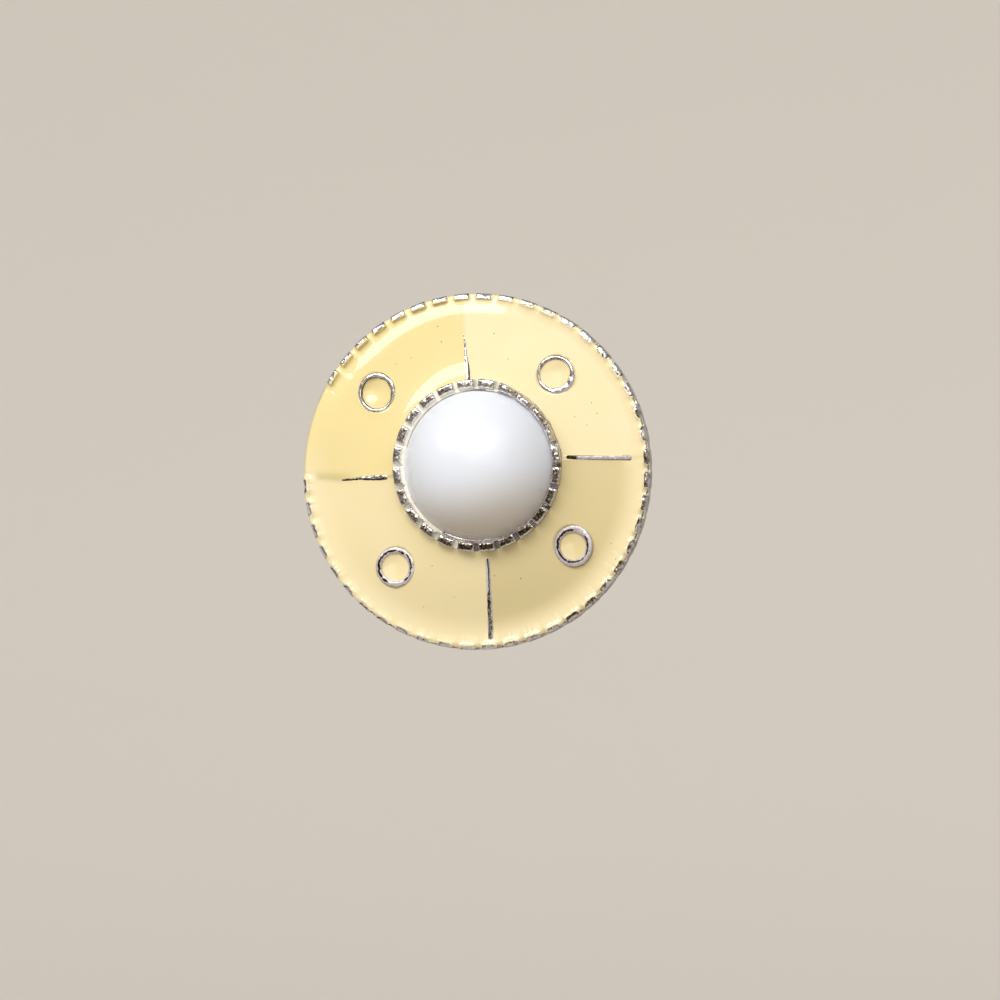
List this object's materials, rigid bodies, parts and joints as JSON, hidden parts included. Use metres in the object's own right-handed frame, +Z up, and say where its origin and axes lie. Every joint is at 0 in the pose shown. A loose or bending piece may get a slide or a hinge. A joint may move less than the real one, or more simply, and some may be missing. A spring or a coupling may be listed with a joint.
{
  "type": "disc earring",
  "caption": "Round enamelled disc stud earring with a toothed metal rim, raised rings and ridges, and a domed stone in a serrated cup.",
  "frame": {"origin": "on the axis of the ear post, at the back of its pad, where the front of the ear lobe rests", "axes": "+Z up as worn, +Y back along the post into the lobe, -Y out of the face, +X to the right as seen by someone looking at the face"},
  "size_m": [0.042, 0.0196, 0.042],
  "materials": {
    "cast_metal": "silver-tone plating on a cast zinc alloy, pitted and darkened in its hollows",
    "enamel": "poured cream epoxy enamel, high gloss with a few pinholes",
    "white_stone": "opaque white moulded resin cabochon, polished",
    "post_steel": "drawn stainless wire and stamped pad"
  },
  "bodies": {
    "root": {"disc_plate": "cast_metal", "stone_cup": "cast_metal", "enamel_field": "enamel", "enamel_dot_upper_right": "enamel", "enamel_dot_upper_left": "enamel", "enamel_dot_lower_left": "enamel", "enamel_dot_lower_right": "enamel", "cabochon": "white_stone", "ear_post": "post_steel"}
  },
  "joints": []
}
